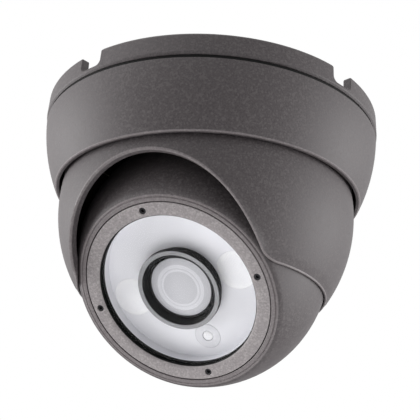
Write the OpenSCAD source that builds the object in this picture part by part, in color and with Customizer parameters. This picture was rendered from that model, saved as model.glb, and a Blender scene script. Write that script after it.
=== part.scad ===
// Dome camera for a ceiling: a base with a trim cover, a turning hood, a tilting yoke and an eyeball.
// The origin is the centre of the ceiling face. Everything hangs below it, and the eyeball looks
// towards -Y and down. Depths under the ceiling are positive numbers in the sections below.

/* [Base] */
// Radius of the base ring at the ceiling
base_r = 55; // [54.5:0.1:56]
// How much wider the base ring is at its lower edge
base_flare = 0.3; // [0:0.1:0.6]
// Height of the base ring
base_h = 7.2; // [6.8:0.1:7.2]
// Wall thickness of the base ring
base_wall = 2.7; // [2.2:0.1:2.8]
// Thickness of the base floor
floor_t = 2; // [1.6:0.1:2]
// Width of each cable notch in the base ring
notch_w = 8.45; // [6:0.05:10]
// Depth of each cable notch under the ceiling
notch_d = 5.6; // [4.6:0.1:5.6]
// Turn of the first notch from the front, about the vertical axis
notch_turn = -16; // [-30:1:30]
// Diameter of the circle that the ceiling screws lie on
screw_circle_d = 76; // [70:1:78]
// Diameter of the ceiling screw holes
screw_hole_d = 4.5; // [3.5:0.1:5]
// Diameter of the cable hole in the base floor
cable_hole_d = 16; // [12:0.5:18]

/* [Trim cover] */
// Radius of the sphere that the cover's outside is cut from
cover_r = 55.1; // [54.9:0.1:55.4]
// Depth of that sphere's centre under the ceiling
cover_centre = 6.8; // [6:0.1:7.5]
// Depth of the cover's upper edge
cover_top = 8.45; // [8.2:0.05:8.6]
// Depth of the cover's lower edge
cover_bottom = 30.1; // [29:0.1:31]
// Radius of the cover's lower opening
cover_opening_r = 48.6; // [48.3:0.1:48.8]
// Wall thickness of the cover
cover_wall = 2.4; // [2:0.1:2.4]

/* [Hood] */
// Radius of the sphere that the hood's outside is cut from
hood_r = 48; // [47.8:0.1:48.1]
// Depth of that sphere's centre under the ceiling
hood_centre = 36.2; // [35.8:0.1:36.6]
// Depth of the hood's lower rim
hood_bottom = 63.15; // [62:0.05:63.5]
// Wall thickness of the hood
hood_wall = 2.5; // [2.3:0.1:2.7]
// Radius of the arch cut into the hood's front
arch_r = 31.5; // [30:0.1:32]
// Depth of the arch's centre under the ceiling
arch_centre = 65.7; // [65:0.1:66]
// Turn of the arch about the vertical, against the tilt axis's middle
arch_turn = 2.6; // [-3:0.1:3]
// Radius where the arch's legs run into the rim
leg_fillet = 2.8; // [2:0.1:3]
// Diameter of the stub axles that carry the yoke
axle_d = 4; // [3.6:0.1:4.2]

/* [Eyeball] */
// Radius of the eyeball
ball_r = 40.5; // [40.3:0.1:40.6]
// Depth of the eyeball's centre under the ceiling
ball_centre = 50.9; // [50.8:0.1:51]
// Wall thickness of the eyeball housing
ball_wall = 2.6; // [2.2:0.1:2.8]
// How far the face points below the horizon
face_dip = 46.2; // [40:0.1:52]
// Turn of the face about its own axis
face_roll = 7.3; // [-10:0.1:20]
// Distance from the eyeball's centre to the face
face_s = 23.4; // [23.2:0.01:23.5]
// Distance from the eyeball's centre to its flat rear
rear_s = 34.2; // [34:0.1:34.3]

/* [Bezel and window] */
// Outer radius of the bezel ring
bezel_r = 30.2; // [30:0.1:30.3]
// Radius where the bezel's flat face ends
bezel_flat_r = 26.7; // [26.5:0.1:26.7]
// Radius of the bezel's opening
bezel_open_r = 25.5; // [25.2:0.1:25.6]
// Thickness of the bezel ring
bezel_t = 2.5; // [2.4:0.1:2.6]
// Radius of the circle that the bezel screws lie on
bezel_screw_circle_r = 27.95; // [27.9:0.05:28.1]
// Turn of the bezel screws against the lamps
bezel_clock = -3; // [-10:0.5:10]
// Thickness of the window glass
glass_t = 0.8; // [0.6:0.1:0.8]
// Depth of the glass under the face
glass_d = 1.1; // [1:0.1:1.2]

/* [Lens and lamps] */
// Outer radius of the lens ring
lens_ring_r = 13.45; // [13.2:0.05:13.6]
// Radius of the lens head
lens_head_r = 10.5; // [10.3:0.1:10.6]
// Radius of the lens's front glass
lens_glass_r = 10; // [9:0.1:10]
// Distance of each lamp from the lens axis
lamp_x = 19; // [19:0.1:19.2]
// Radius of each lamp's cap
lamp_cap_r = 6.4; // [6:0.05:6.4]
// Distance of the light sensor from the lens axis
light_sensor_y = 18.8; // [18:0.1:19.5]

/* [Swivel] */
// Diameter of the hollow stud at the eyeball's rear
stud_d = 10; // [9.6:0.1:10.4]
// Diameter of the cable way through the stud
stud_bore_d = 6.4; // [5:0.1:6.6]
// Thickness of the yoke strap
strap_t = 1.4; // [1.2:0.1:1.4]
// Width of the yoke strap
strap_w = 10; // [9:0.5:10]

/* [Hidden] */
$fn = 96;
eps = 0.05;
sink = 0.3;
shaft_gap = 0.05;

// Base
base_edge = 0.6;
gasket_r = 53.9;
notch_sill = 0.2;
floor_top = notch_d + notch_sill;
floor_bottom = floor_top + floor_t;
ring_in_r = base_r - base_wall;
notch_corner = 1.8;
notch_tip = 1.4;
boss_r = 5;
spigot_r = 51.9;
spigot_in_r = 50.6;
spigot_bottom = 12.3;
lug_count = 3;
lug_arc = 15;
lug_h = 1.8;
lug_out_r = 52.85;
rib_t = 2;
rib_drop = 2;
tab_in_r = 45.2;
tab_out_r = 47.2;
tab_w = 2;

// Trim cover and pan bearing
cover_seat_r = 53.05;
cover_lug_r = 52.05;
shelf_top = 13.2;
shelf_t = 1.8;
shelf_in_r = 47.9;
glide_in_r = 48.2;
glide_out_r = 50.2;
lock_screw_drop = 11.4;

// Hood
neck_r = 47.4;
neck_in_r = 44.9;
neck_bottom = 30;
neck_blend = 36;
hood_top = 10.7;
flange_t = 2;
socket_r = 40.85;
groove_r = 42.75;
groove_bottom = 57;
axle_tip = 44.9;

// Eyeball
shelf_s = face_s - bezel_t;
ball_pocket_r = 30.5;
lip_r = 32.4;
lip_slope = 0.62;
tray_r = 26.4;
tray_in_r = 25.5;
tray_floor = 15.6;
tray_top = tray_floor + 4.45;
tray_floor_t = 1.2;
tube_out_r = 30;
tray_gap = 0.1;
ledge_in_r = 24.5;
ledge_s = 13.6;
screw_count = 4;
glass_front = face_s - glass_d;
glass_back = glass_front - glass_t;
lens_seat = 16.4;
lens_edge = 19;
lens_rise = 0.9;

// Swivel, as distances behind the eyeball's centre
yoke_in_r = ball_r + 0.45;
saddle_s = rear_s + 0.6;
saddle_out_s = saddle_s + 1.6;
saddle_r = 12;
washer_t = 0.8;
nut_s = saddle_out_s + washer_t + shaft_gap;
nut_t = 2.9;
stud_end_s = 41;
stud_head_t = 1.6;
seal_t = 0.7;

// Boards, as distances in front of the eyeball's centre
lamp_board_t = 1.6;
lamp_board_r = 24.3;
lens_hole_r = 11;
board_w = 38;
board_t = 1.6;
board_corner = 3;
sensor_board_s = -9.2;
main_board_s = -17.6;
post_at = 15;
post_r = 2.2;
screw_r = 1.25;

// ---------------------------------------------------------------- shared shapes

// A tube between two heights, the lower one first.
module tube(r_out, r_in, z_low, z_high) {
    translate([0, 0, z_low])
        difference() {
            cylinder(h = z_high - z_low, r = r_out);
            translate([0, 0, -eps]) cylinder(h = z_high - z_low + 2 * eps, r = r_in);
        }
}

// A disc between two heights, the lower one first.
module disc(r, z_low, z_high) {
    translate([0, 0, z_low]) cylinder(h = z_high - z_low, r = r);
}

// A box centred on X and Y between two heights.
module slab(x, y, z_low, z_high) {
    translate([-x / 2, -y / 2, z_low]) cube([x, y, z_high - z_low]);
}

// Copies of the children at equal turns about Z.
module around(count, first = 0) {
    for (i = [0 : count - 1]) rotate([0, 0, first + i * 360 / count]) children();
}

// A piece of a flat ring that spans an arc, centred on the front.
module arc_block(r_out, r_in, arc, z_low, z_high) {
    reach = r_out * 1.2;
    intersection() {
        tube(r_out, r_in, z_low, z_high);
        translate([0, 0, z_low - eps])
            linear_extrude(height = z_high - z_low + 2 * eps)
                polygon([[0, 0], [-reach * sin(arc / 2), -reach * cos(arc / 2)],
                         [reach * sin(arc / 2), -reach * cos(arc / 2)]]);
    }
}

// The corner that is left between a square and the quarter circle inside it.
module fillet_corner(r) {
    difference() {
        square([r, r]);
        translate([r, r]) circle(r = r);
    }
}

// Moves the children into the eyeball's frame: +Z leaves through the face, +X stays +X.
module at_ball() {
    translate([0, 0, -ball_centre]) rotate([90 + face_dip, 0, 0]) children();
}

// The same frame, turned with the face about its own axis.
module at_face() {
    at_ball() rotate([0, 0, face_roll]) children();
}

// The children at the four board posts.
module at_posts() {
    for (x = [-post_at, post_at]) for (y = [-post_at, post_at]) translate([x, y, 0]) children();
}

// ---------------------------------------------------------------- base

// The outline of one cable notch: round corners at its floor, round tips at the ceiling.
module notch_outline() {
    half = notch_w / 2;
    translate([-half, -notch_d + notch_corner]) square([notch_w, notch_d - notch_corner + 1]);
    translate([-half + notch_corner, -notch_d]) square([notch_w - 2 * notch_corner, notch_d]);
    for (side = [-1, 1]) translate([side * (half - notch_corner), -notch_d + notch_corner])
        circle(r = notch_corner);
    for (side = [0, 1]) mirror([side, 0])
        translate([half - eps, eps]) mirror([0, 1]) fillet_corner(notch_tip);
}

module base_ring() {
    low_r = base_r + base_flare;
    rotate_extrude()
        polygon([[ring_in_r, 0], [base_r - base_edge, 0], [base_r, -base_edge],
                 [low_r, -base_h + base_edge], [low_r - base_edge, -base_h], [ring_in_r, -base_h]]);
}

module base_plate() {
    color("#5b5858")
        difference() {
            union() {
                base_ring();
                disc(ring_in_r + sink, -floor_bottom, -floor_top);
                tube(spigot_r, spigot_in_r, -spigot_bottom, -floor_top - sink);
                around(lug_count) arc_block(lug_out_r, spigot_r - sink, lug_arc,
                                            -spigot_bottom + 0.2, -spigot_bottom + lug_h);
                around(4, notch_turn + 45) translate([0, -screw_circle_d / 2, 0]) {
                    disc(boss_r, -floor_bottom + sink, 0);
                    translate([-rib_t / 2, screw_circle_d / 2 - ring_in_r - sink, -floor_top - sink])
                        cube([rib_t, ring_in_r - screw_circle_d / 2, floor_top - rib_drop + sink]);
                }
                tube(cable_hole_d / 2 + 4, cable_hole_d / 2 + 2, -floor_top - sink, -floor_top + 1.2);
                rotate([0, 0, 180]) stop_tab(-hood_top + 0.5, -floor_bottom + sink);
            }
            around(4, notch_turn)
                translate([0, -ring_in_r + 1, 0]) rotate([90, 0, 0])
                    linear_extrude(height = base_wall + 2) notch_outline();
            around(4, notch_turn + 45) translate([0, -screw_circle_d / 2, 0])
                disc(screw_hole_d / 2, -floor_bottom - eps, eps);
            disc(cable_hole_d / 2, -floor_bottom - eps, -floor_top + eps);
        }
}

// A tab at the front, between two heights, that ends the hood's turn.
module stop_tab(z_low, z_high) {
    translate([-tab_w / 2, -tab_out_r, z_low])
        cube([tab_w, tab_out_r - tab_in_r, z_high - z_low]);
}

module cable_grommet() {
    waist = cable_hole_d / 2;
    color("#1d1d1f")
        rotate_extrude()
            polygon([[4, -floor_bottom - 1.1], [waist + 1.2, -floor_bottom - 1.1],
                     [waist + 1.6, -floor_bottom], [waist, -floor_bottom], [waist, -floor_top],
                     [waist + 1.6, -floor_top], [waist + 1, -floor_top + 1.4], [4, -floor_top + 1.4]]);
}

module seam_gasket() {
    color("#141414") tube(gasket_r, ring_in_r + sink + 0.2, -cover_top, -base_h);
}

module trim_cover() {
    color("#625f60") {
        difference() {
            intersection() {
                translate([0, 0, -cover_centre]) sphere(r = cover_r);
                disc(cover_r + 1, -cover_bottom, -cover_top);
            }
            intersection() {
                translate([0, 0, -cover_centre]) sphere(r = cover_r - cover_wall);
                difference() {
                    disc(cover_r, -cover_bottom - eps, -spigot_bottom - 0.3);
                    disc(cover_r, -shelf_top - shelf_t, -shelf_top);
                }
            }
            disc(cover_opening_r, -cover_bottom - eps, -shelf_top - shelf_t);
            disc(shelf_in_r, -shelf_top - shelf_t - eps, -shelf_top + eps);
            disc(cover_seat_r, -spigot_bottom - 0.4, -cover_top + eps);
            translate([0, 0, -lock_screw_drop]) rotate([-90, 0, 0])
                cylinder(h = cover_r + 1, r = 1.5);
        }
        around(lug_count) arc_block(cover_seat_r + eps, cover_lug_r, lug_arc - 1,
                                    -spigot_bottom + lug_h + 0.1, -cover_top);
    }
}

// A hexagon-socket set screw, through the cover at the rear, that stops it from twisting off.
module cover_lock_screw() {
    color("#b9bbbd")
        translate([0, 0, -lock_screw_drop]) rotate([-90, 0, 0])
            difference() {
                disc(1.5, spigot_r, 54.6);
                translate([0, 0, 53.2]) cylinder(h = 2, r = 0.87, $fn = 6);
            }
}

module upper_glide_ring() {
    color("#d9d7d0") tube(glide_out_r, glide_in_r, -hood_top + 0.05, -floor_bottom);
}

module lower_glide_ring() {
    color("#d9d7d0") tube(glide_out_r, glide_in_r, -shelf_top, -hood_top - flange_t - 0.05);
}

// ---------------------------------------------------------------- hood

// The outline that the front of the hood is opened with, seen from the front.
module arch_outline() {
    lift = arch_centre - hood_bottom + leg_fillet;
    leg_x = sqrt(pow(arch_r + leg_fillet, 2) - lift * lift) - 0.03;
    touch = arch_r / (arch_r + leg_fillet);
    touch_z = -arch_centre + lift * touch;
    translate([0, -arch_centre]) circle(r = arch_r);
    for (side = [0, 1]) mirror([side, 0])
        difference() {
            polygon([[arch_r - 2, touch_z], [leg_x * touch, touch_z],
                     [leg_x, -arch_centre + lift], [leg_x, -hood_bottom - 1],
                     [arch_r - 2, -hood_bottom - 1]]);
            translate([leg_x, -arch_centre + lift]) circle(r = leg_fillet);
        }
}

module hood_cavity() {
    translate([0, 0, -hood_centre]) sphere(r = hood_r - hood_wall);
    disc(neck_in_r, -neck_blend, -hood_top + 1);
    translate([0, 0, -ball_centre]) sphere(r = socket_r);
    intersection() {
        translate([0, 0, -ball_centre]) sphere(r = groove_r);
        disc(hood_r, -groove_bottom, -ball_centre);
    }
}

module hood_shell() {
    color("#656263")
        difference() {
            union() {
                intersection() {
                    translate([0, 0, -hood_centre]) sphere(r = hood_r);
                    disc(hood_r + 1, -hood_bottom, -neck_bottom + 1);
                }
                disc(neck_r, -neck_bottom, -hood_top);
                disc(glide_out_r, -hood_top - flange_t, -hood_top);
                stop_tab(-hood_top - eps, -hood_top + 1.8);
            }
            hood_cavity();
            rotate([0, 0, arch_turn]) translate([0, -14, 0]) rotate([90, 0, 0])
                linear_extrude(height = 45) arch_outline();
            translate([0, 0, -ball_centre]) rotate([0, 90, 0])
                cylinder(h = 2 * axle_tip, r = axle_d / 2, center = true);
        }
}

module tilt_axles() {
    color("#c4c6c8")
        for (side = [0, 1]) mirror([side, 0, 0])
            translate([yoke_in_r + 0.1, 0, -ball_centre]) rotate([0, 90, 0])
                cylinder(h = axle_tip - yoke_in_r - 0.1, r = axle_d / 2);
}

// ---------------------------------------------------------------- yoke

// A ball whose rear is cut flat, in the eyeball's frame.
module flat_backed_ball(r, flat_s) {
    intersection() {
        sphere(r = r);
        disc(r + 1, -flat_s, r + 1);
    }
}

module tilt_yoke() {
    color("#8d8f91")
        at_ball()
            difference() {
                intersection() {
                    flat_backed_ball(yoke_in_r + strap_t, saddle_out_s);
                    union() {
                        slab(2 * hood_r, strap_w, -hood_r, 0);
                        rotate([0, 90, 0]) cylinder(h = 2 * hood_r, r = strap_w / 2, center = true);
                        disc(saddle_r, -hood_r, -ball_r / 2);
                    }
                }
                flat_backed_ball(yoke_in_r, saddle_s);
                rotate([0, 90, 0])
                    cylinder(h = 2 * hood_r, r = axle_d / 2 + shaft_gap, center = true);
                disc(stud_d / 2 + shaft_gap, -hood_r, 0);
            }
}

module swivel_friction_disc() {
    color("#d8d2c4") at_ball() tube(9.5, stud_d / 2 + 0.2, -saddle_s, -rear_s - shaft_gap);
}

module swivel_spring_washer() {
    color("#a8aaac") at_ball()
        tube(8.4, stud_d / 2 + 0.2, -saddle_out_s - washer_t, -saddle_out_s);
}

// ---------------------------------------------------------------- eyeball shell and window

module at_bezel_screws() {
    around(screw_count, bezel_clock) translate([bezel_screw_circle_r, 0, 0]) children();
}

module ball_housing() {
    color("#6b6868")
        at_face()
            difference() {
                intersection() {
                    sphere(r = ball_r);
                    disc(ball_r + 1, -rear_s, face_s);
                }
                difference() {
                    intersection() {
                        sphere(r = ball_r - ball_wall);
                        disc(ball_r, -rear_s + ball_wall, shelf_s - 3);
                    }
                    tube(tube_out_r, ledge_in_r, ledge_s, face_s);
                }
                disc(ball_pocket_r, shelf_s, face_s + 1);
                disc(tray_r + tray_gap, tray_floor, face_s);
                disc(ledge_in_r, ledge_s - 1, tray_floor + eps);
                at_bezel_screws() disc(0.8, ledge_s + 1, face_s);
                disc(stud_d / 2, -ball_r, -rear_s + ball_wall + eps);
                rotate_extrude()
                    polygon([[lip_r, face_s], [lip_r, face_s + 1], [ball_r + 2, face_s + 1],
                             [ball_r + 2, face_s - (ball_r + 2 - lip_r) * lip_slope]]);
            }
}

module bezel_ring() {
    top = face_s - 0.05;
    edge = 0.2;
    steps = 5;
    fall = glass_d - 0.05;
    width = bezel_flat_r - bezel_open_r;
    round_edge = [for (i = [0 : steps])
        [bezel_flat_r - width * sin(90 * i / steps), top - fall * (1 - cos(90 * i / steps))]];
    color("#959090")
        at_face()
            difference() {
                rotate_extrude()
                    polygon(concat(
                        [[tray_r + 0.1, shelf_s], [bezel_r, shelf_s], [bezel_r, top - edge],
                         [bezel_r - edge, top]],
                        round_edge,
                        [[tray_r + 0.1, glass_front]]));
                at_bezel_screws() {
                    disc(0.85, shelf_s - eps, top + 1);
                    disc(1.1, top - 1.3, top + 1);
                }
            }
}

module bezel_screws() {
    top = face_s - 0.4;
    color("#1a1a1c")
        at_face() at_bezel_screws()
            difference() {
                union() {
                    disc(1.1, face_s - 1.35, top);
                    disc(0.8, ledge_s + 1.4, face_s - 1.3);
                }
                translate([0, 0, top - 0.6]) cylinder(h = 1, r = 0.6, $fn = 6);
            }
}

module window_glass() {
    color([0.85, 0.9, 0.92, 0.35]) at_face() disc(tray_r, glass_back, glass_front);
}

module window_seal() {
    color("#101012") at_face() tube(tray_r, tray_in_r, tray_top, glass_back);
}

module reflector_tray() {
    color("#dcdcde")
        at_face()
            difference() {
                disc(tray_r, tray_floor, tray_top);
                disc(tray_in_r, tray_floor + tray_floor_t, tray_top + eps);
                disc(lens_hole_r, tray_floor - eps, tray_top);
                for (side = [-1, 1]) translate([side * lamp_x, 0, 0])
                    disc(lamp_cap_r + 0.05, tray_floor - eps, tray_top);
                translate([0, -light_sensor_y, 0]) disc(4.25, tray_floor - eps, tray_top);
            }
}

// ---------------------------------------------------------------- lens

module lens_ring() {
    low = tray_floor + tray_floor_t;
    top = glass_back - 0.05;
    step_s = top - 2.1;
    color("#9c9da0")
        at_face()
            rotate_extrude()
                polygon([[11.2, low], [lamp_x - lamp_cap_r - 0.05, low],
                         [lamp_x - lamp_cap_r - 0.05, step_s], [lens_ring_r, step_s],
                         [lens_ring_r, top - 0.15], [lens_ring_r - 0.15, top], [12, top],
                         [11.2, top - 0.75], [10.8, top - 1.6], [10.8, step_s - 0.6],
                         [11.2, step_s - 1]]);
}

// A lens element: a disc with a spherical front that rises by the given height.
module element(r, z_low, z_edge, rise) {
    bulge_r = (r * r + rise * rise) / (2 * rise);
    disc(r, z_low, z_edge);
    intersection() {
        translate([0, 0, z_edge + rise - bulge_r]) sphere(r = bulge_r, $fn = 360);
        disc(r, z_edge - eps, z_edge + rise + 1);
    }
}

module front_lens() {
    color("#c9cbd2") at_face() element(lens_glass_r, lens_seat, lens_edge, lens_rise);
}

module lens_barrel() {
    color("#1b1b1d")
        at_face()
            difference() {
                union() {
                    disc(lens_head_r, 14.4, lens_edge + 0.3);
                    disc(7.4, 4, 14.5);
                    disc(6, -3.5, 4.1);
                }
                disc(lens_glass_r, lens_seat, 21);
                disc(5.4, 9, lens_seat + 1);
                disc(4, -4, 10);
            }
}

module rear_lens() {
    color("#a9b6c9") at_face() element(4, -2.5, 1, 0.8);
}

module lens_lock_ring() {
    color("#3a3a3c") at_face()
        difference() {
            tube(8.5, 6, 1.4, 3.8);
            around(6) translate([8.6, 0, 0]) disc(0.7, 1, 4);
        }
}

module lens_holder() {
    color("#242426")
        at_face()
            difference() {
                union() {
                    slab(18, 18, -7.6, -4.5);
                    disc(8, -4.6, 1.4);
                }
                disc(6, -3.5, 2);
                slab(10.5, 10.5, -8, -4.6);
                disc(4.2, -5, -3);
            }
}

module infrared_filter() {
    color([0.75, 0.5, 0.55, 0.7]) at_face() slab(9.6, 9.6, -5.3, -4.6);
}

module image_sensor() {
    color("#2d3138") at_face() slab(8, 8, -7.6, -6.3);
}

// ---------------------------------------------------------------- boards and lamps

// A square circuit board with round corners and four screw holes.
module board(z_low) {
    inner = board_w - 2 * board_corner;
    difference() {
        union() {
            slab(board_w, inner, z_low, z_low + board_t);
            slab(inner, board_w, z_low, z_low + board_t);
            for (x = [-inner / 2, inner / 2]) for (y = [-inner / 2, inner / 2])
                translate([x, y, 0]) disc(board_corner, z_low, z_low + board_t);
        }
        at_posts() disc(screw_r, z_low - eps, z_low + board_t + eps);
    }
}

module sensor_board() {
    color("#1f5a3a") at_face() board(sensor_board_s);
}

module main_board() {
    color("#1f5a3a") at_face() board(main_board_s);
}

module front_posts() {
    color("#c9a24a") at_face() at_posts()
        disc(post_r, sensor_board_s + board_t, tray_floor - lamp_board_t);
}

module rear_posts() {
    color("#c9a24a") at_face() at_posts() {
        disc(post_r, main_board_s + board_t, sensor_board_s);
        disc(screw_r, sensor_board_s, sensor_board_s + board_t);
    }
}

module board_screws() {
    color("#b9bbbd") at_face() at_posts()
        difference() {
            union() {
                disc(2.3, main_board_s - 1.6, main_board_s);
                disc(screw_r, main_board_s, main_board_s + board_t);
            }
            for (turn = [0, 90]) rotate([0, 0, turn])
                slab(2.6, 0.6, main_board_s - 2, main_board_s - 0.7);
        }
}

module lamp_board() {
    color("#e8e8ea") at_face()
        difference() {
            disc(lamp_board_r, tray_floor - lamp_board_t, tray_floor);
            disc(lens_hole_r, tray_floor - lamp_board_t - eps, tray_floor + eps);
        }
}

module lamp_chips() {
    color("#e9d68a") at_face()
        for (side = [-1, 1]) translate([side * lamp_x, 0, 0]) slab(5.6, 5.6, tray_floor, tray_floor + 0.7);
}

module lamp_caps() {
    low = tray_floor;
    color([0.93, 0.94, 0.95, 0.8]) at_face()
        for (side = [-1, 1]) translate([side * lamp_x, 0, 0])
            difference() {
                element(lamp_cap_r, low, low + 1.2, 0.6);
                disc(4.4, low - eps, low + 0.9);
            }
}

module light_sensor() {
    color("#e6e4dc") at_face() translate([0, -light_sensor_y, 0])
        element(1.6, tray_floor, tray_floor + 1.1, 0.4);
}

module light_sensor_sleeve() {
    color([0.85, 0.85, 0.86, 0.8]) at_face() translate([0, -light_sensor_y, 0])
        tube(4.2, 1.7, tray_floor, tray_floor + 1.3);
}

module processor_chips() {
    color("#26282b") at_face() {
        translate([2, 3, 0]) slab(12, 12, main_board_s + board_t, main_board_s + board_t + 1.1);
        translate([-9, -7, 0]) slab(6, 8, main_board_s + board_t, main_board_s + board_t + 1);
        translate([-1, 12, 0]) slab(9, 4, sensor_board_s - 1, sensor_board_s);
    }
}

module board_capacitors() {
    color("#8f9396") at_face()
        for (place = [[-10, 5], [-10, 11], [9, -12]]) translate([place[0], place[1], 0])
            disc(2.5, main_board_s + board_t, main_board_s + board_t + 5.4);
}

module board_sockets() {
    color("#efefe8") at_face()
        for (place = [[-8, -4, 9], [5, -6, 7.5], [5, 6, 11]]) translate([place[0], place[1], 0])
            difference() {
                slab(place[2], 4.4, main_board_s - 5.2, main_board_s);
                slab(place[2] - 1.4, 3, main_board_s - 6, main_board_s - 1);
            }
}

module desiccant_pack() {
    color("#f1efe9") at_face() translate([0, 19, -23.5]) rotate([0, 90, 0])
        intersection() {
            cylinder(h = 18, r = 5.2, center = true);
            slab(3.6, 11, -9, 9);
        }
}

// ---------------------------------------------------------------- swivel

module swivel_stud() {
    inner = -rear_s + ball_wall + seal_t;
    color("#b0b2b4")
        at_face()
            difference() {
                union() {
                    disc(8.5, inner, inner + stud_head_t);
                    disc(stud_d / 2, -stud_end_s, inner + eps);
                }
                disc(stud_bore_d / 2, -stud_end_s - 1, inner + stud_head_t + 1);
            }
}

module stud_seal() {
    color("#151515") at_face()
        tube(8.5, stud_d / 2, -rear_s + ball_wall, -rear_s + ball_wall + seal_t);
}

module swivel_nut() {
    color("#b9bbbd") at_face()
        difference() {
            union() {
                translate([0, 0, -nut_s - nut_t]) cylinder(h = nut_t, r = 8.6, $fn = 6);
                disc(6.8, -stud_end_s + 0.2, -nut_s - nut_t + eps);
            }
            disc(stud_d / 2, -hood_r, 0);
        }
}

module cable_gland() {
    head = -rear_s + ball_wall + seal_t + stud_head_t;
    color("#161618") at_face() {
        tube(stud_bore_d / 2, 2.4, -37, head + eps);
        tube(5.4, 2.4, head, head + 1.8);
    }
}

base_plate();
cable_grommet();
seam_gasket();
trim_cover();
cover_lock_screw();
upper_glide_ring();
lower_glide_ring();
hood_shell();
tilt_axles();
tilt_yoke();
swivel_friction_disc();
swivel_spring_washer();
ball_housing();
bezel_ring();
bezel_screws();
window_glass();
window_seal();
reflector_tray();
lens_ring();
front_lens();
lens_barrel();
rear_lens();
lens_lock_ring();
lens_holder();
infrared_filter();
image_sensor();
sensor_board();
front_posts();
lamp_board();
lamp_chips();
lamp_caps();
light_sensor();
light_sensor_sleeve();
rear_posts();
main_board();
processor_chips();
board_capacitors();
board_sockets();
board_screws();
desiccant_pack();
swivel_stud();
stud_seal();
swivel_nut();
cable_gland();
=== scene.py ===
"""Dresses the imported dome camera: fine meshes for what is seen, and a finish for every piece."""
import logging
import math
from dataclasses import dataclass
from enum import Enum
from typing import Any, Callable, Mapping, Sequence

import bmesh
import bpy
from bmesh.types import BMEdge, BMesh, BMFace
from bpy.types import Material, Node, NodeSocket, NodeTree, Object
from mathutils import Matrix, Vector


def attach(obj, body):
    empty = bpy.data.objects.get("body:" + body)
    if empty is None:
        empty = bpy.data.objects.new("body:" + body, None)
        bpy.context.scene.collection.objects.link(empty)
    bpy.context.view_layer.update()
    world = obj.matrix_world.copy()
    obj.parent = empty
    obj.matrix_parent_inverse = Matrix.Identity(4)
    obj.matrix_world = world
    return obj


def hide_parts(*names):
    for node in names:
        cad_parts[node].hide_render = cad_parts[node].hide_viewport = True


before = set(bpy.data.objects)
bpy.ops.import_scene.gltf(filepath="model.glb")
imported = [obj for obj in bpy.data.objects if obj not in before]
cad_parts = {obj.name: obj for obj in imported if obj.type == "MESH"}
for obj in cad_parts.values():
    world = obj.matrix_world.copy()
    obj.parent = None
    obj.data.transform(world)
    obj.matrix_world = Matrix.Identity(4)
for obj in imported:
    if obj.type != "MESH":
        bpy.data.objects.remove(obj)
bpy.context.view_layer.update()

LOG = logging.getLogger("dome_camera")
MM = 0.001
UM = 1e-6
AIM_DEG = 46.2  # how far the eyeball's face points below the horizon at rest

Corner = tuple[float, float, float]  # radius, height and rounding, in millimetres
Colour = tuple[float, float, float, float]
FaceTest = Callable[[BMFace, float, float], bool]  # given a face, its radius and its height


# ---- node trees


def linear(code: str) -> Colour:
    """Turns a colour code into linear light.

    Args:
        code: an sRGB colour such as "#6b6868".

    Returns:
        Red, green, blue and alpha, from 0 to 1.
    """
    parts = [int(code[i : i + 2], 16) / 255 for i in (1, 3, 5)]
    r, g, b = (c / 12.92 if c <= 0.04045 else ((c + 0.055) / 1.055) ** 2.4 for c in parts)
    return r, g, b, 1.0


def add(
    tree: NodeTree,
    kind: str,
    settings: Mapping[str | int, Any] | None = None,
    links: Mapping[str | int, NodeSocket] | None = None,
) -> Node:
    """Adds one node with its settings and links.

    Args:
        tree: the node tree to add to.
        kind: the node's type, without "ShaderNode".
        settings: values for input sockets, or for properties where no socket has that name.
        links: what feeds each input socket.

    Returns:
        The new node.
    """
    node = tree.nodes.new("ShaderNode" + kind)
    for key, value in (settings or {}).items():
        if isinstance(key, int) or key in node.inputs:
            node.inputs[key].default_value = value
        else:
            setattr(node, key, value)
    for key, source in (links or {}).items():
        tree.links.new(source, node.inputs[key])
    return node


class Pattern(Enum):
    """What a surface's fine texture looks like."""

    GRAIN = "even grain"
    SPARKLE = "grain with bright flakes"
    BRUSHED = "streaks along one way"
    CELLS = "small closed cells"
    CLOUDY = "soft broad patches"


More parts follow.
